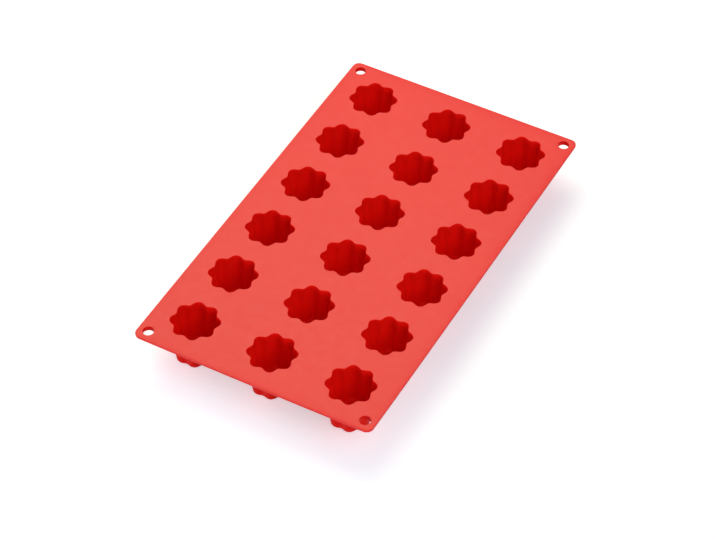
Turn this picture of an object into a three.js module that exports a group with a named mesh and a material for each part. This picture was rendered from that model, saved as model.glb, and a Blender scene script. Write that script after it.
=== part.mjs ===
// A soft silicone mould for small fluted cakes: a flat sheet with rows of fluted baking cups below it.
// Millimetres, +Z up. The origin is under the middle of the sheet, on the plane that the cups stand on.
// X runs across the columns of cups and Y along the rows, from the front row to the back one.

import * as THREE from "three";

// The sheet.
const SHEET_LENGTH = 300;
const SHEET_WIDTH = 175;
const SHEET_THICKNESS = 2.5;
const SHEET_CORNER_RADIUS = 6;

// The hanging hole in each corner: the inset is from the sheet's edges to the middle of the hole.
const HOLE_DIAMETER = 8;
const HOLE_INSET = 7.6;

// The grid of cups, spread over the sheet: a margin is from the sheet's edge to the middle of the
// outermost cups.
const COLUMN_NAMES = ["left", "middle", "right"];
const ROWS = 6;
const SIDE_MARGIN = 29.65;
const END_MARGIN = 29.25;

// The hollow of one cup. A diameter is taken midway between the crests and the valleys of the flutes,
// and a flute's depth is how far a crest stands out from there.
const CAVITY_DEPTH = 28.5;
const MOUTH_DIAMETER = 31;
const MOUTH_FLUTE_DEPTH = 1.25;
const FLOOR_DIAMETER = 24.6;
const FLOOR_FLUTE_DEPTH = 0.85;
const FLUTES = 8;
const FLOOR_CROWN = 1.2;
const INSIDE_ROUNDING = 2.2;

// The silicone around the hollow.
const WALL_THICKNESS = 1.4;
const FLOOR_THICKNESS = 1.5;
const OUTSIDE_ROUNDING = 2.5;

// How finely the curves are cut into facets.
const STEPS_PER_FLUTE = 6;
const HOLE_STEPS = 20;
const CORNER_STEPS = 3;

// Places that follow from the sizes above.
const MOULD_HEIGHT = FLOOR_THICKNESS + CAVITY_DEPTH;
const SHEET_UNDERSIDE = MOULD_HEIGHT - SHEET_THICKNESS;
const MOUTH_RADIUS = MOUTH_DIAMETER / 2;
const FLOOR_RADIUS = FLOOR_DIAMETER / 2;
const FLUTED_STEPS = FLUTES * STEPS_PER_FLUTE;
const COLUMN_PITCH = (SHEET_WIDTH - 2 * SIDE_MARGIN) / (COLUMN_NAMES.length - 1);
const ROW_PITCH = (SHEET_LENGTH - 2 * END_MARGIN) / (ROWS - 1);

const silicone = new THREE.MeshStandardMaterial({ color: 0xd6221c, roughness: 0.45, metalness: 0 });

// The distance from a cup's axis to its fluted wall: a valley of the flutes lies on the X axis.
function flutedRadius(middleRadius, fluteDepth, angle) {
  return middleRadius - fluteDepth * Math.cos(FLUTES * angle);
}

// One closed outline around a centre, with flutes where the depth isn't zero.
function outline(centre, middleRadius, fluteDepth, steps) {
  const points = [];
  for (let step = 0; step < steps; step++) {
    const angle = (2 * Math.PI * step) / steps;
    const radius = flutedRadius(middleRadius, fluteDepth, angle);
    const reach = new THREE.Vector2(radius * Math.cos(angle), radius * Math.sin(angle));
    points.push(reach.add(centre));
  }
  return new THREE.Path(points);
}

function roundedRectangle(width, length, radius) {
  const right = width / 2 - radius;
  const back = length / 2 - radius;
  const shape = new THREE.Shape();
  shape.absarc(right, back, radius, 0, Math.PI / 2);
  shape.absarc(-right, back, radius, Math.PI / 2, Math.PI);
  shape.absarc(-right, -back, radius, Math.PI, 1.5 * Math.PI);
  shape.absarc(right, -back, radius, 1.5 * Math.PI, 2 * Math.PI);
  shape.closePath();
  return shape;
}

// The middle of each cup, counted from the front row and the left column.
function cupCentre(column, row) {
  const x = (column - (COLUMN_NAMES.length - 1) / 2) * COLUMN_PITCH;
  const y = (row - (ROWS - 1) / 2) * ROW_PITCH;
  return new THREE.Vector2(x, y);
}

function makeSheet() {
  const shape = roundedRectangle(SHEET_WIDTH, SHEET_LENGTH, SHEET_CORNER_RADIUS);
  for (let row = 0; row < ROWS; row++) {
    for (let column = 0; column < COLUMN_NAMES.length; column++) {
      const mouth = outline(cupCentre(column, row), MOUTH_RADIUS, MOUTH_FLUTE_DEPTH, FLUTED_STEPS);
      shape.holes.push(mouth);
    }
  }
  for (const sideX of [-1, 1]) {
    for (const sideY of [-1, 1]) {
      const x = sideX * (SHEET_WIDTH / 2 - HOLE_INSET);
      const y = sideY * (SHEET_LENGTH / 2 - HOLE_INSET);
      shape.holes.push(outline(new THREE.Vector2(x, y), HOLE_DIAMETER / 2, 0, HOLE_STEPS));
    }
  }
  const geometry = new THREE.ExtrudeGeometry(shape, {
    depth: SHEET_THICKNESS,
    bevelEnabled: false,
    curveSegments: CORNER_STEPS,
  });
  const sheet = new THREE.Mesh(geometry, silicone);
  sheet.name = "sheet";
  sheet.position.z = SHEET_UNDERSIDE;
  return sheet;
}

// The tapered wall's middle radius at a height, inside the cup. It meets the sheet at the mouth's size.
function wallRadius(height) {
  const rise = (height - FLOOR_THICKNESS) / (SHEET_UNDERSIDE - FLOOR_THICKNESS);
  return THREE.MathUtils.lerp(FLOOR_RADIUS, MOUTH_RADIUS, rise);
}

// The flutes grow shallower from the mouth to the floor.
function wallFluteDepth(height) {
  const rise = (height - FLOOR_THICKNESS) / (SHEET_UNDERSIDE - FLOOR_THICKNESS);
  return THREE.MathUtils.lerp(FLOOR_FLUTE_DEPTH, MOUTH_FLUTE_DEPTH, rise);
}

// The cup's half section, from the middle of its underside out, up, over the top and down to the floor.
function cupProfile() {
  const outsideFoot = wallRadius(OUTSIDE_ROUNDING) + WALL_THICKNESS;
  const insideFootHeight = FLOOR_THICKNESS + INSIDE_ROUNDING;
  const insideFoot = wallRadius(insideFootHeight);
  return [
    new THREE.Vector2(0, 0),
    new THREE.Vector2(outsideFoot - OUTSIDE_ROUNDING, 0),
    new THREE.Vector2(outsideFoot, OUTSIDE_ROUNDING),
    new THREE.Vector2(MOUTH_RADIUS + WALL_THICKNESS, SHEET_UNDERSIDE),
    new THREE.Vector2(MOUTH_RADIUS, SHEET_UNDERSIDE),
    new THREE.Vector2(insideFoot, insideFootHeight),
    new THREE.Vector2(insideFoot - INSIDE_ROUNDING, FLOOR_THICKNESS),
    new THREE.Vector2(0, FLOOR_THICKNESS + FLOOR_CROWN),
  ];
}

// Turns the section around Z and presses the flutes into it. On the floor they fade out to the middle.
function makeCupGeometry() {
  const geometry = new THREE.LatheGeometry(cupProfile(), FLUTED_STEPS);
  geometry.rotateX(Math.PI / 2);
  const position = geometry.attributes.position;
  const point = new THREE.Vector3();
  for (let index = 0; index < position.count; index++) {
    point.fromBufferAttribute(position, index);
    const radius = Math.hypot(point.x, point.y);
    if (radius > 0) {
      const fade = Math.min(1, radius / wallRadius(point.z));
      const depth = fade * wallFluteDepth(point.z);
      const scale = flutedRadius(radius, depth, Math.atan2(point.y, point.x)) / radius;
      position.setXY(index, point.x * scale, point.y * scale);
    }
  }
  geometry.computeVertexNormals();
  return geometry;
}

const mould = new THREE.Group();
mould.name = "canele_mould";
mould.add(makeSheet());

const cupGeometry = makeCupGeometry();
for (let row = 0; row < ROWS; row++) {
  for (let column = 0; column < COLUMN_NAMES.length; column++) {
    const cup = new THREE.Mesh(cupGeometry, silicone);
    const centre = cupCentre(column, row);
    cup.name = `cup_row${row + 1}_${COLUMN_NAMES[column]}`;
    cup.position.set(centre.x, centre.y, 0);
    mould.add(cup);
  }
}

export default mould;
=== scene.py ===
# %% [markdown]
# # A silicone mould for small fluted cakes
#
# The mould is one soft red moulding: a flat sheet with rows of deep fluted cups hanging below it.
# Plain solids of the sheet and the cups already exist at their real size. This lesson lays a finer
# skin over each of them, gives the skins the look of silicone, and sets up the picture.
# All lengths in Blender are metres here, with Z up, and the mould stands on the plane Z = 0.

from math import cos, hypot, pi, radians, sin, tau

import bmesh
import bpy
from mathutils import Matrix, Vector, geometry, noise


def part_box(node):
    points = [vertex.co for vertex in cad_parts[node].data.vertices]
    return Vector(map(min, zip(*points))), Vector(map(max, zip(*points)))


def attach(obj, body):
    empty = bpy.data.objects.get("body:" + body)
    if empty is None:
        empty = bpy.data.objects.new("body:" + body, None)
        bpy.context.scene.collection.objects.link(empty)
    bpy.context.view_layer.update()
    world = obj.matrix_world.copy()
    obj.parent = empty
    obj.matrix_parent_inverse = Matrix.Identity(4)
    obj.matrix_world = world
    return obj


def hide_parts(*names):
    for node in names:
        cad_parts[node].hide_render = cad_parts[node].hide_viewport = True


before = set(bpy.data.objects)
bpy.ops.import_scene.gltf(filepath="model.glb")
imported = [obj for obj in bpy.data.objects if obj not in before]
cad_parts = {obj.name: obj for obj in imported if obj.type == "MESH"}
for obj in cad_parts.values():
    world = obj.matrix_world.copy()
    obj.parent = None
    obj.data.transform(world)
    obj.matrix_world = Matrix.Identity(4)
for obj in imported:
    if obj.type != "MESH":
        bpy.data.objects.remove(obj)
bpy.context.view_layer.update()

# %% [markdown]
# ## Sizes that the solids already know
#
# A skin fits its solid best when its size is read from it. The sheet's box gives its sides and the
# heights of its two faces. The middle of each cup's box is the axis that the cup is turned around.
# Only the sizes that a box can't show, such as a wall or a rounding, are written down later. A rounded
# edge looks smaller than a sharp one, so the sheet's skin is drawn a little wider than the solid.

# %% Read the sheet's faces and the cups' axes
MM = 0.001
SPREAD = 0.25 * MM

sheet_low, sheet_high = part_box("sheet")
HALF_WIDTH = sheet_high.x + SPREAD
HALF_LENGTH = sheet_high.y + SPREAD
TOP = sheet_high.z
UNDERSIDE = sheet_low.z

cup_axes = {}
for name in sorted(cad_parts):
    if name.startswith("cup_"):
        low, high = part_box(name)
        cup_axes[name] = (low + high).xy / 2
print("sheet from", round(UNDERSIDE / MM, 2), "to", round(TOP / MM, 2), "mm high,", len(cup_axes), "cups")

# %% [markdown]
# ## The flutes
#
# Seen from above, a cup's mouth is a circle that swells and narrows eight times. A cosine wave laid
# around the circle gives that line: a valley where the cosine is at its highest, and a crest between
# two valleys. A second wave, much weaker and with twice as many turns, makes the crests broader and the
# valleys tighter. A cup tapers, and its flutes are deep at the mouth and shallower at the floor, so both
# the radius and the depth follow from the height.

# %% A circle with flutes
FLUTES = 8
SECOND_WAVE = 0.07
MOUTH_RADIUS = 15.6 * MM
MOUTH_FLUTE = 1.28 * MM
FLOOR_RADIUS = 12.3 * MM
FLOOR_FLUTE = 0.85 * MM
CAVITY_FLOOR = 1.5 * MM


def fluted_reach(middle, depth, angle):
    return middle - depth * (cos(FLUTES * angle) + SECOND_WAVE * cos(2 * FLUTES * angle))


def rise(height):
    return (height - CAVITY_FLOOR) / (TOP - CAVITY_FLOOR)


def wall_radius(height):
    return FLOOR_RADIUS + rise(height) * (MOUTH_RADIUS - FLOOR_RADIUS)


def flute_at(height):
    return FLOOR_FLUTE + rise(height) * (MOUTH_FLUTE - FLOOR_FLUTE)


crest = fluted_reach(MOUTH_RADIUS, MOUTH_FLUTE, pi / FLUTES)
valley = fluted_reach(MOUTH_RADIUS, MOUTH_FLUTE, 0)
print("mouth across crests", round(2 * crest / MM, 1), "mm, across valleys", round(2 * valley / MM, 1))

# %% [markdown]
# ## A soft sheet is never quite flat
#
# Silicone is limp. The cups hold the sheet up by a hair, it hangs a little where it reaches out past
# them, it is faintly uneven in between, and one front corner curls up. A viewer doesn't measure that,
# but sees it in the way the light fades towards the edges. A cloth simulation could bend the sheet, but
# a sum of four small terms is easier to steer. It says how far a point lies below the flat plane.

# %% How far the silicone sinks at a point
LIFT = 0.12 * MM
OVERHANG = 10 * MM
HANG = 0.25 * MM
UNEVEN = 0.12 * MM
UNEVEN_LENGTH = 60 * MM
CURL = 0.8 * MM
CURL_REACH = 80 * MM


def hang_near(distance_to_edge):
    share = max(0.0, 1 - distance_to_edge / OVERHANG)
    return HANG * share * share


def curl_at(x, y):
    distance_to_corner = hypot(HALF_WIDTH - x, HALF_LENGTH + y)
    share = max(0.0, 1 - distance_to_corner / CURL_REACH)
    return CURL * share * share


def sink(x, y):
    hang = max(hang_near(HALF_WIDTH - abs(x)), hang_near(HALF_LENGTH - abs(y)))
    waves = UNEVEN * noise.noise(Vector((x, y, 0)) / UNEVEN_LENGTH)
    return hang - LIFT - curl_at(x, y) + waves


print("the back right corner hangs", round(sink(HALF_WIDTH, HALF_LENGTH) / MM, 2), "mm low")
print("the front right corner curls", round(-sink(HALF_WIDTH, -HALF_LENGTH) / MM, 2), "mm up")

# %% [markdown]
# ## The half section of a cup, inside
#
# A potter's template is a good way to think of a cup: one line, from the middle of the floor inside,
# up the wall, over the rim, down the outside and back to the axis. Turned around the axis, it gives the
# whole cup. This cell draws the inner half as pairs of a radius and a height. The floor rises in a low
# crown, which leaves the dimple in the top of the cake, and arcs round the corner and the rim.

# %% Draw the inside of the template
RIM_ROUNDING = 0.35 * MM
INSIDE_ROUNDING = 2.2 * MM
FLOOR_CROWN = 1.2 * MM
FLOOR_STEPS = 8
LIP_RADIUS = MOUTH_RADIUS + RIM_ROUNDING


def arc(centre_x, centre_y, size, start, stop, steps):
    for step in range(steps + 1):
        angle = radians(start + (stop - start) * step / steps)
        yield centre_x + size * cos(angle), centre_y + size * sin(angle)


def between(start, stop, steps):
    for step in range(1, steps):
        share = step / steps
        yield start[0] + share * (stop[0] - start[0]), start[1] + share * (stop[1] - start[1])


def inside_line():
    corner_height = CAVITY_FLOOR + INSIDE_ROUNDING
    floor_edge = wall_radius(corner_height) - INSIDE_ROUNDING
    floor = []
    for step in range(FLOOR_STEPS):
        radius = floor_edge * step / FLOOR_STEPS
        floor.append((radius, CAVITY_FLOOR + FLOOR_CROWN * cos(pi * radius / (2 * floor_edge)) ** 2))
    corner = list(arc(floor_edge, corner_height, INSIDE_ROUNDING, start=-90, stop=0, steps=7))
    rim = list(arc(LIP_RADIUS, TOP - RIM_ROUNDING, RIM_ROUNDING, start=180, stop=90, steps=6))
    return floor + corner + list(between(corner[-1], rim[0], steps=14)) + rim


print("the inside has", len(inside_line()), "points")

# %% [markdown]
# ## The half section of a cup, outside
#
# The outer half runs from the rim down the seam with the sheet, out along a hollow arc under the sheet,
# down the wall and around the rounded base to the axis. The line is then completed with a flute depth
# for each point. On the floor the flutes fade out to the middle, where they have no room.

# %% Draw the outside and complete the template
WALL = 2.5 * MM
OUTSIDE_ROUNDING = 3.6 * MM
UNDER_SHEET_ROUNDING = 1.2 * MM


def outside_line():
    foot = wall_radius(OUTSIDE_ROUNDING) + WALL
    under = UNDERSIDE - UNDER_SHEET_ROUNDING
    shoulder = wall_radius(under) + WALL
    seam = [(LIP_RADIUS, UNDERSIDE)]
    hollow_middle = shoulder + UNDER_SHEET_ROUNDING
    hollow = list(arc(hollow_middle, under, UNDER_SHEET_ROUNDING, start=90, stop=180, steps=5))
    base_middle = foot - OUTSIDE_ROUNDING
    corner = list(arc(base_middle, OUTSIDE_ROUNDING, OUTSIDE_ROUNDING, start=0, stop=-90, steps=8))
    base = [(corner[-1][0] * share, 0.0) for share in (0.75, 0.5, 0.25, 0.0)]
    return seam + hollow + list(between(hollow[-1], corner[0], steps=12)) + corner + base


def template():
    line = []
    for radius, height in inside_line() + outside_line():
        fade = min(1.0, radius / wall_radius(max(height, CAVITY_FLOOR)))
        line.append((radius, height, fade * fade * flute_at(min(height, TOP))))
    return line


cup_line = template()
print("the template has", len(cup_line), "points")

# %% [markdown]
# ## From the template to a cup
#
# Blender's Screw modifier could turn a line around an axis, but it makes plain circles. Here each
# point of the template becomes a ring of vertices that follows the flutes, and neighbouring rings are
# joined by four-sided faces. The two ends of the line lie on the axis, so each end closes in a fan
# around one vertex. The result is a closed body that could be printed.

# %% Turn the template into a fluted body
STEPS_AROUND = 96


def ring(bm, centre, radius, height, flute):
    if radius == 0:
        return [bm.verts.new((centre.x, centre.y, height))]
    verts = []
    for step in range(STEPS_AROUND):
        angle = tau * step / STEPS_AROUND
        reach = fluted_reach(radius, flute, angle)
        verts.append(bm.verts.new((centre.x + reach * cos(angle), centre.y + reach * sin(angle), height)))
    return verts


def join_rings(bm, first, second):
    count = max(len(first), len(second))
    for step in range(count):
        after = (step + 1) % count
        if len(first) == 1:
            bm.faces.new((first[0], second[step], second[after]))
        elif len(second) == 1:
            bm.faces.new((first[step], second[0], first[after]))
        else:
            bm.faces.new((first[step], second[step], second[after], first[after]))


def fluted_body(centre):
    bm = bmesh.new()
    rings = [ring(bm, centre, *point) for point in cup_line]
    for first, second in zip(rings, rings[1:]):
        join_rings(bm, first, second)
    return bm


print("a cup has", len(cup_line), "rings of up to", STEPS_AROUND, "points")

# %% [markdown]
# ## Finishing a skin
#
# Every skin goes through the same last steps: let it settle, point its faces outwards, shade it
# smoothly but keep the true corners sharp, and hide the solid that it stands for. To settle, a
# cup moves with the sheet at its mouth and not at all at its floor, so no gap opens between them and
# the mould stays on the ground. The skin rides on the mould's only body.

# %% Make an object from a body
SHARP_CORNER = radians(40)


def settle(bm):
    for vert in bm.verts:
        share = min(1.0, max(0.0, vert.co.z / UNDERSIDE))
        vert.co.z -= share * share * sink(vert.co.x, vert.co.y)


def dress(bm, skin_name, solid_name):
    settle(bm)
    bmesh.ops.recalc_face_normals(bm, faces=bm.faces)
    mesh = bpy.data.meshes.new(skin_name)
    bm.to_mesh(mesh)
    bm.free()
    mesh.shade_smooth()
    mesh.set_sharp_from_angle(angle=SHARP_CORNER)
    skin = bpy.data.objects.new(skin_name, mesh)
    bpy.context.scene.collection.objects.link(skin)
    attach(skin, "root")
    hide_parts(solid_name)
    return skin


cups = [dress(fluted_body(axis), name + "_skin", name) for name, axis in cup_axes.items()]
print(len(cups), "cups of", len(cups[0].data.polygons), "faces each")

# %% [markdown]
# ## The outlines of the sheet
#
# The sheet is bounded by three kinds of line: its own outline with rounded corners, a round hanging
# hole in each corner, and the mouths. The outer edge and the holes are rounded like the edge of a
# worn eraser, so each is a stack of rings that steps in towards the face. At a mouth the sheet simply
# ends where the cup's rim begins, on the same points, so the two meet without a line.

# %% Points of each outline
CORNER_RADIUS = 5 * MM
CORNER_STEPS = 10
EDGE_STEPS = 24
HOLE_RADIUS = 3.8 * MM
HOLE_INSET = 7.6 * MM
HOLE_STEPS = 40


def outer_outline(inset):
    radius = CORNER_RADIUS - inset
    x, y = HALF_WIDTH - CORNER_RADIUS, HALF_LENGTH - CORNER_RADIUS
    points = []
    for corner_x, corner_y, start in [(x, y, 0), (-x, y, 90), (-x, -y, 180), (x, -y, 270)]:
        bend = list(arc(corner_x, corner_y, radius, start, start + 90, CORNER_STEPS))
        if points:
            points += between(points[-1], bend[0], EDGE_STEPS)
        points += bend
    return points + list(between(points[-1], points[0], EDGE_STEPS))


def hole_outline(centre, inset):
    return list(arc(*centre, HOLE_RADIUS + inset, start=0, stop=360, steps=HOLE_STEPS))[:-1]


hole_centres = []
for side_x in (-1, 1):
    for side_y in (-1, 1):
        hole_centres.append((side_x * (HALF_WIDTH - HOLE_INSET), side_y * (HALF_LENGTH - HOLE_INSET)))
print("outline of", len(outer_outline(0)), "points and", len(hole_centres), "holes")

# %% [markdown]
# ## The rounded edge
#
# Looked at in section, the outer edge is a small quarter circle at the top, a short straight side and a
# larger quarter circle below. A hole starts with the same small quarter circle, but its wall is deeper
# than the sheet is thick, so it goes on into a low collar underneath. A Bevel modifier would round all
# edges alike, so the section is drawn: how far each ring steps in from the outline, and its height.

# %% Sections of the edge and of a hole
TOP_EDGE_ROUNDING = 0.25 * MM
LOW_EDGE_ROUNDING = 1.1 * MM
COLLAR_DEPTH = 1.3 * MM
COLLAR_WIDTH = 1.6 * MM
COLLAR_ROUNDING = 0.4 * MM


def rounded_top():
    bend = arc(0, TOP - TOP_EDGE_ROUNDING, TOP_EDGE_ROUNDING, start=90, stop=0, steps=5)
    return [(TOP_EDGE_ROUNDING - reach, height) for reach, height in bend]


def rounded_bottom(bottom, size):
    bend = arc(0, bottom + size, size, start=0, stop=-90, steps=6)
    return [(size - reach, height) for reach, height in bend]


def outer_section():
    return rounded_top() + rounded_bottom(UNDERSIDE, LOW_EDGE_ROUNDING)


def hole_section():
    lip = rounded_bottom(UNDERSIDE - COLLAR_DEPTH, COLLAR_ROUNDING)
    outside = [(COLLAR_WIDTH - inset, height) for inset, height in reversed(lip)]
    return rounded_top() + lip + outside + [(COLLAR_WIDTH, UNDERSIDE)]


print("the outer edge has", len(outer_section()), "rings, a hole's edge has", len(hole_section()))

# %% [markdown]
# ## Points to fill the faces with
#
# The upper face is one wide area with many openings. If it were filled from edge to edge, its triangles
# would be long and couldn't sink softly. So loose points are strewn between the outlines on a staggered
# grid, with some room to each outline, and none of them in a mouth or a hole.

# %% Strew points over the sheet
GRID = 5.0 * MM
ROOM_TO_OUTLINE = 0.6 * GRID


def in_an_opening(point):
    for axis in cup_axes.values():
        arm = point - axis
        angle = arm.angle_signed(Vector((1, 0)), 0)
        if arm.length < fluted_reach(LIP_RADIUS, MOUTH_FLUTE, angle):
            return True
    return any((point - Vector(c)).length < HOLE_RADIUS + TOP_EDGE_ROUNDING for c in hole_centres)


def loose_points(outlines):
    edge = [Vector(point) for outline in outlines for point in outline]
    columns, rows = int(2 * HALF_WIDTH / GRID), int(2 * HALF_LENGTH / GRID)
    found = []
    for column in range(1, columns):
        for row in range(1, rows):
            shift = GRID / 2 if row % 2 else 0
            point = Vector((column * GRID + shift - HALF_WIDTH, row * GRID - HALF_LENGTH))
            nearest = min((point - other).length_squared for other in edge)
            if nearest > ROOM_TO_OUTLINE ** 2 and not in_an_opening(point):
                found.append(point)
    return found


print("a grid of", round(GRID / MM, 1), "mm, kept", round(ROOM_TO_OUTLINE / MM, 1), "mm off the outlines")

# %% [markdown]
# ## Filling the faces
#
# A single polygon can't hold openings. A constrained Delaunay triangulation can: it keeps every outline
# and spreads even triangles between the points. It also covers the mouths and holes, so triangles whose
# middle lies in one of them are left out. The function gives back the numbers of the points that each
# triangle joins, so that the same triangles serve both faces of the sheet.

# %% Triangulate the area between the outlines
INSIDE_THE_OUTLINES = 1
SAME_POINT = 1e-7


def fill(outlines, loose):
    points = [Vector(point) for outline in outlines for point in outline]
    edges = []
    first = 0
    for outline in outlines:
        count = len(outline)
        edges += [(first + step, first + (step + 1) % count) for step in range(count)]
        first += count
    made = geometry.delaunay_2d_cdt(points + loose, edges, [], INSIDE_THE_OUTLINES, SAME_POINT)
    places, corners_of, numbers = made[0], made[2], made[3]
    triangles = []
    for corners in corners_of:
        middle = sum((places[corner] for corner in corners), Vector((0, 0))) / 3
        if not in_an_opening(middle):
            triangles.append([numbers[corner][0] for corner in corners])
    return triangles


print("points closer than", SAME_POINT / MM, "mm count as one")

# %% [markdown]
# ## The sheet
#
# The sheet is put together like a sandwich: the stacks of rings give the outer edge and the walls of
# the holes, the mouths get one plain wall each, and the same triangles close the upper face and the
# lower one. Each face has its own vertices, which are the end rings of the stacks and the loose points.

# %% Build the sheet
def flat_ring(bm, outline, height):
    return [bm.verts.new((x, y, height)) for x, y in outline]


def stacks_of_rings(bm):
    stacks = [[flat_ring(bm, outer_outline(inset), height) for inset, height in outer_section()]]
    for centre in hole_centres:
        section = hole_section()
        stacks.append([flat_ring(bm, hole_outline(centre, inset), height) for inset, height in section])
    for axis in cup_axes.values():
        stacks.append([ring(bm, axis, LIP_RADIUS, height, MOUTH_FLUTE) for height in (TOP, UNDERSIDE)])
    return stacks


def sheet_body():
    bm = bmesh.new()
    stacks = stacks_of_rings(bm)
    for stack in stacks:
        for first, second in zip(stack, stack[1:]):
            join_rings(bm, first, second)
    outlines = [[vert.co.xy for vert in stack[0]] for stack in stacks]
    loose = loose_points(outlines)
    triangles = fill(outlines, loose)
    print("each face of the sheet:", len(loose), "loose points and", len(triangles), "triangles")
    for end, height in ((0, TOP), (-1, UNDERSIDE)):
        verts = [vert for stack in stacks for vert in stack[end]]
        verts += [bm.verts.new((point.x, point.y, height)) for point in loose]
        for triangle in triangles:
            bm.faces.new([verts[corner] for corner in triangle])
    return bm


sheet = dress(sheet_body(), "sheet_skin", "sheet")
print("the sheet has", len(sheet.data.polygons), "faces")

# %% [markdown]
# ## Red silicone
#
# Moulded silicone is a saturated colour under a thin, slightly rough skin, which mirrors a few parts in
# a hundred of what is around it. An image could hold its small faults, but noise in the object's own
# coordinates needs no unwrapping and has no seams. Slow noise shifts the colour a little, as the pigment
# does. Finer noise varies how rough the skin is, and the finest one presses pores into it.

# %% Mix the silicone
DEEP_RED = (0.79, 0.005, 0.003, 1)
BRIGHT_RED = (0.85, 0.008, 0.004, 1)
PIGMENT_SCALE = 22
SMOOTHEST = 0.40
ROUGHEST = 0.52
ROUGHNESS_SCALE = 160
PORE_SCALE = 1800
PORE_STRENGTH = 0.12
PORE_DEPTH = 0.05 * MM
SILICONE_IOR = 1.40


def grain(nodes, links, scale, detail):
    place = nodes.new("ShaderNodeTexCoord")
    node = nodes.new("ShaderNodeTexNoise")
    node.inputs["Scale"].default_value = scale
    node.inputs["Detail"].default_value = detail
    links.new(place.outputs["Object"], node.inputs["Vector"])
    return node.outputs["Fac"]


def red_silicone(name, shine):
    material = bpy.data.materials.new(name)
    material.use_nodes = True
    nodes, links = material.node_tree.nodes, material.node_tree.links
    skin = nodes["Principled BSDF"]
    skin.inputs["IOR"].default_value = SILICONE_IOR
    skin.inputs["Specular IOR Level"].default_value = shine

    pigment = nodes.new("ShaderNodeMix")
    pigment.data_type = "RGBA"
    pigment.inputs["A"].default_value = DEEP_RED
    pigment.inputs["B"].default_value = BRIGHT_RED
    links.new(grain(nodes, links, PIGMENT_SCALE, detail=3), pigment.inputs["Factor"])
    links.new(pigment.outputs["Result"], skin.inputs["Base Color"])

    roughness = nodes.new("ShaderNodeMapRange")
    roughness.inputs["To Min"].default_value = SMOOTHEST
    roughness.inputs["To Max"].default_value = ROUGHEST
    links.new(grain(nodes, links, ROUGHNESS_SCALE, detail=4), roughness.inputs["Value"])
    links.new(roughness.outputs["Result"], skin.inputs["Roughness"])

    pores = nodes.new("ShaderNodeBump")
    pores.inputs["Strength"].default_value = PORE_STRENGTH
    pores.inputs["Distance"].default_value = PORE_DEPTH
    links.new(grain(nodes, links, PORE_SCALE, detail=3), pores.inputs["Height"])
    links.new(pores.outputs["Normal"], skin.inputs["Normal"])
    return material


SATIN_SHINE = 0.67
DULL_SHINE = 0.1
satin_silicone = red_silicone("satin_silicone", SATIN_SHINE)
dull_silicone = red_silicone("dull_silicone", DULL_SHINE)
print("mixed:", satin_silicone.name, "and", dull_silicone.name)

# %% [markdown]
# ## Two finishes
#
# The sheet's upper face and outer edge are satin: they mirror the studio, which turns the red salmon.
# The cups, the walls of the holes and the underside stay deep red, so they get the duller finish. A
# second object for each finish would cut the sheet apart. Instead the sheet holds both materials, and
# each of its faces picks one by the way it points.

# %% Give each face its finish
FACES_UP = 0.5


def shines(face):
    middle = face.center.xy
    at_a_hole = any((middle - Vector(c)).length < HOLE_RADIUS + COLLAR_WIDTH for c in hole_centres)
    return face.normal.z > (FACES_UP if at_a_hole else -FACES_UP)


for cup in cups:
    cup.data.materials.append(dull_silicone)
sheet.data.materials.append(satin_silicone)
sheet.data.materials.append(dull_silicone)
for face in sheet.data.polygons:
    face.material_index = 0 if shines(face) else 1
print("satin on", sum(face.material_index == 0 for face in sheet.data.polygons), "faces of the sheet")

# %% [markdown]
# ## A floor that glows a little
#
# The mould stands on white, with a soft shadow. More light would make any floor white, but it would
# bleach the mould too. So the floor shines a little by itself, and only where it is looked at or
# mirrored: the Light Path node tells such rays from the light that bounces around. The glow is weaker
# beside the mould than in front of it, which paints the shadow at the side deeper and the one in front
# lighter than the lamps alone make them, and far away it reaches full white.

# %% The floor's own glow
# Painted shade: less glow at the side paints a deeper shadow there, and more glow in front paints a
# lighter one.
FRONT_GLOW_LIGHTER_SHADOW = 0.56
SIDE_GLOW_DEEPER_SHADOW = 0.39
GLOW_FRONT_END = -200 * MM
GLOW_SIDE_START = 50 * MM
FAR_WHITE_START = 350 * MM
FAR_WHITE_END = 900 * MM
COOL_WHITE = (0.94, 0.96, 1.0, 1)


def seen_share(nodes, links):
    path = nodes.new("ShaderNodeLightPath")
    total = path.outputs["Is Camera Ray"]
    for other in ("Is Glossy Ray", "Is Transmission Ray"):
        either = nodes.new("ShaderNodeMath")
        either.operation = "MAXIMUM"
        links.new(total, either.inputs[0])
        links.new(path.outputs[other], either.inputs[1])
        total = either.outputs[0]
    return total


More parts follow.
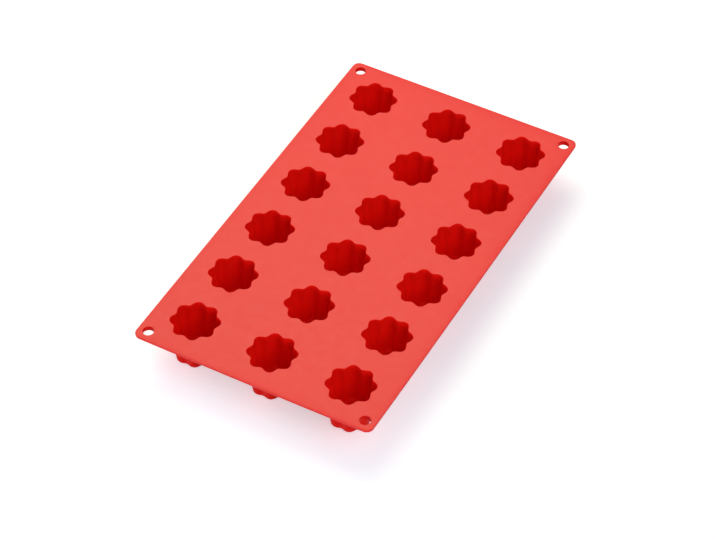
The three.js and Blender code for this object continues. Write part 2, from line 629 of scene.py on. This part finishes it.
def glow_level(nodes, links):
    place = nodes.new("ShaderNodeTexCoord")
    across = nodes.new("ShaderNodeVectorMath")
    across.operation = "DOT_PRODUCT"
    across.inputs[1].default_value = (1, 1, 0)
    links.new(place.outputs["Object"], across.inputs[0])
    # Painted shade: the glow drops from the front to the side, so the shadow beside the mould looks
    # deeper than the lamps make it.
    shadow_painting_glow = nodes.new("ShaderNodeMapRange")
    shadow_painting_glow.inputs["From Min"].default_value = GLOW_FRONT_END
    shadow_painting_glow.inputs["From Max"].default_value = GLOW_SIDE_START
    shadow_painting_glow.inputs["To Min"].default_value = FRONT_GLOW_LIGHTER_SHADOW
    shadow_painting_glow.inputs["To Max"].default_value = SIDE_GLOW_DEEPER_SHADOW
    links.new(across.outputs["Value"], shadow_painting_glow.inputs["Value"])

    distance = nodes.new("ShaderNodeVectorMath")
    distance.operation = "LENGTH"
    links.new(place.outputs["Object"], distance.inputs[0])
    far_white = nodes.new("ShaderNodeMapRange")
    far_white.inputs["From Min"].default_value = FAR_WHITE_START
    far_white.inputs["From Max"].default_value = FAR_WHITE_END
    links.new(distance.outputs["Value"], far_white.inputs["Value"])

    level = nodes.new("ShaderNodeMath")
    level.operation = "MAXIMUM"
    links.new(shadow_painting_glow.outputs["Result"], level.inputs[0])
    links.new(far_white.outputs["Result"], level.inputs[1])
    return level.outputs[0]


print("glow", FRONT_GLOW_LIGHTER_SHADOW, "in front,", SIDE_GLOW_DEEPER_SHADOW, "at the side, full white from", FAR_WHITE_END, "m on")

# %% [markdown]
# ## The floor itself
#
# The floor is one large face just below the mould. For the camera and for reflections it is pale paint
# plus the glow, and for all other light it is plain paint. The seen paint is slightly blue, which makes
# up for the warm lamp. The floor stays apart from the mould's body.

# %% Lay the floor
PLAIN_PAINT = (0.75, 0.75, 0.75, 1)
SEEN_PAINT = (0.82, 0.86, 0.94, 1)
FLOOR_REACH = 6.0
FLOOR_GAP = 0.1 * MM


def white_floor():
    material = bpy.data.materials.new("white_floor")
    material.use_nodes = True
    nodes, links = material.node_tree.nodes, material.node_tree.links
    nodes.clear()
    paint = nodes.new("ShaderNodeBsdfDiffuse")
    paint.inputs["Color"].default_value = PLAIN_PAINT
    seen_paint = nodes.new("ShaderNodeBsdfDiffuse")
    seen_paint.inputs["Color"].default_value = SEEN_PAINT
    glow = nodes.new("ShaderNodeEmission")
    glow.inputs["Color"].default_value = COOL_WHITE
    links.new(glow_level(nodes, links), glow.inputs["Strength"])
    seen = nodes.new("ShaderNodeAddShader")
    links.new(seen_paint.outputs[0], seen.inputs[0])
    links.new(glow.outputs[0], seen.inputs[1])
    choice = nodes.new("ShaderNodeMixShader")
    links.new(seen_share(nodes, links), choice.inputs["Fac"])
    links.new(paint.outputs[0], choice.inputs[1])
    links.new(seen.outputs[0], choice.inputs[2])
    output = nodes.new("ShaderNodeOutputMaterial")
    links.new(choice.outputs[0], output.inputs["Surface"])
    return material


floor_mesh = bpy.data.meshes.new("floor")
floor_corners = [(x * FLOOR_REACH, y * FLOOR_REACH, 0) for x, y in ((-1, -1), (1, -1), (1, 1), (-1, 1))]
floor_mesh.from_pydata(floor_corners, [], [(0, 1, 2, 3)])
floor_mesh.materials.append(white_floor())
floor = bpy.data.objects.new("floor", floor_mesh)
floor.location.z = -FLOOR_GAP
bpy.context.scene.collection.objects.link(floor)
print("floor", 2 * FLOOR_REACH, "m wide")

# %% [markdown]
# ## Soft light
#
# The picture itself tells where the lamps were. The sheet has an even salmon sheen, so it mirrors a
# large warm soft box high behind the mould, opposite the camera. Inside each cup the left half is bright
# and the right half deep red, so a second panel shines in from the right. The undersides of the front
# cups are bright as well, so a low strip shines at them from the front. A lamp's energy grows with its
# area here, so that its brightness and its size can be set apart.

# %% Hang the lamps
WARM = (1, 0.96, 0.71)
WHITE = (1, 1, 1)


def panel(name, azimuth, elevation, distance, width, height, brightness, tint):
    around, up = radians(azimuth), radians(elevation)
    towards = Vector((cos(up) * cos(around), cos(up) * sin(around), sin(up)))
    lamp = bpy.data.lights.new(name, "AREA")
    lamp.shape = "RECTANGLE"
    lamp.size = width
    lamp.size_y = height
    lamp.color = tint
    lamp.energy = brightness * pi * width * height
    holder = bpy.data.objects.new(name, lamp)
    holder.location = Vector((0, 0, TOP)) + distance * towards
    holder.rotation_euler = (-towards).to_track_quat("-Z", "Y").to_euler()
    bpy.context.scene.collection.objects.link(holder)


panel("soft_box_behind", azimuth=130, elevation=54, distance=1.05,
      width=0.9, height=0.72, brightness=3.4, tint=WARM)
panel("panel_right", azimuth=-25, elevation=42, distance=1.4,
      width=0.9, height=0.9, brightness=2.8, tint=WHITE)
panel("strip_low_front", azimuth=-98, elevation=5, distance=1.2,
      width=1.4, height=0.18, brightness=5.5, tint=WHITE)
print(len(bpy.data.lights), "lamps")

# %% [markdown]
# ## The room
#
# A dim white room fills the shadows from all sides. A picture of a studio could do that, but the mould
# is so dull that a plain colour looks the same. Like the floor, the room is full white where it is
# looked at or mirrored. The Standard view shows each colour as it is written.

# %% Light the room
ROOM_LIGHT = 0.24

world = bpy.data.worlds.new("white_room")
world.use_nodes = True
bpy.context.scene.world = world
room_nodes, room_links = world.node_tree.nodes, world.node_tree.links
room_level = room_nodes.new("ShaderNodeMapRange")
room_level.inputs["To Min"].default_value = ROOM_LIGHT
room_level.inputs["To Max"].default_value = 1.0
room_links.new(seen_share(room_nodes, room_links), room_level.inputs["Value"])
room = room_nodes["Background"]
room.inputs["Color"].default_value = (1, 1, 1, 1)
room_links.new(room_level.outputs["Result"], room.inputs["Strength"])
bpy.context.scene.view_settings.view_transform = "Standard"
print("room light", ROOM_LIGHT)

# %% [markdown]
# ## The camera
#
# The sheet's four corners and its even grid of cups are enough to work out where the picture was taken
# from: a long lens, almost two metres away, looking down at about 46 degrees with the long side of the
# sheet running away to the upper right. The place and the aim are counted from the middle of the sheet's
# upper face. The camera was held very slightly tilted, so it is rolled at the end.

# %% Place the camera
LENS = 135.1
SENSOR_WIDTH = 36
CLIP_END = 50
CAMERA_PLACE = Vector((613.0, -1101.3, 1285.6)) * MM
CAMERA_AIM = Vector((12.9, -30.0, 0.0)) * MM
CAMERA_ROLL = radians(-0.54)

camera_data = bpy.data.cameras.new("camera")
camera_data.lens = LENS
camera_data.sensor_width = SENSOR_WIDTH
camera_data.clip_end = CLIP_END
camera = bpy.data.objects.new("camera", camera_data)
camera.location = CAMERA_PLACE + Vector((0, 0, TOP))
aim = CAMERA_AIM + Vector((0, 0, TOP))
camera.rotation_euler = (aim - camera.location).to_track_quat("-Z", "Y").to_euler()
camera.rotation_euler.rotate_axis("Z", CAMERA_ROLL)
bpy.context.scene.collection.objects.link(camera)
bpy.context.scene.camera = camera
print("camera", round((aim - camera.location).length, 3), "m from the sheet")
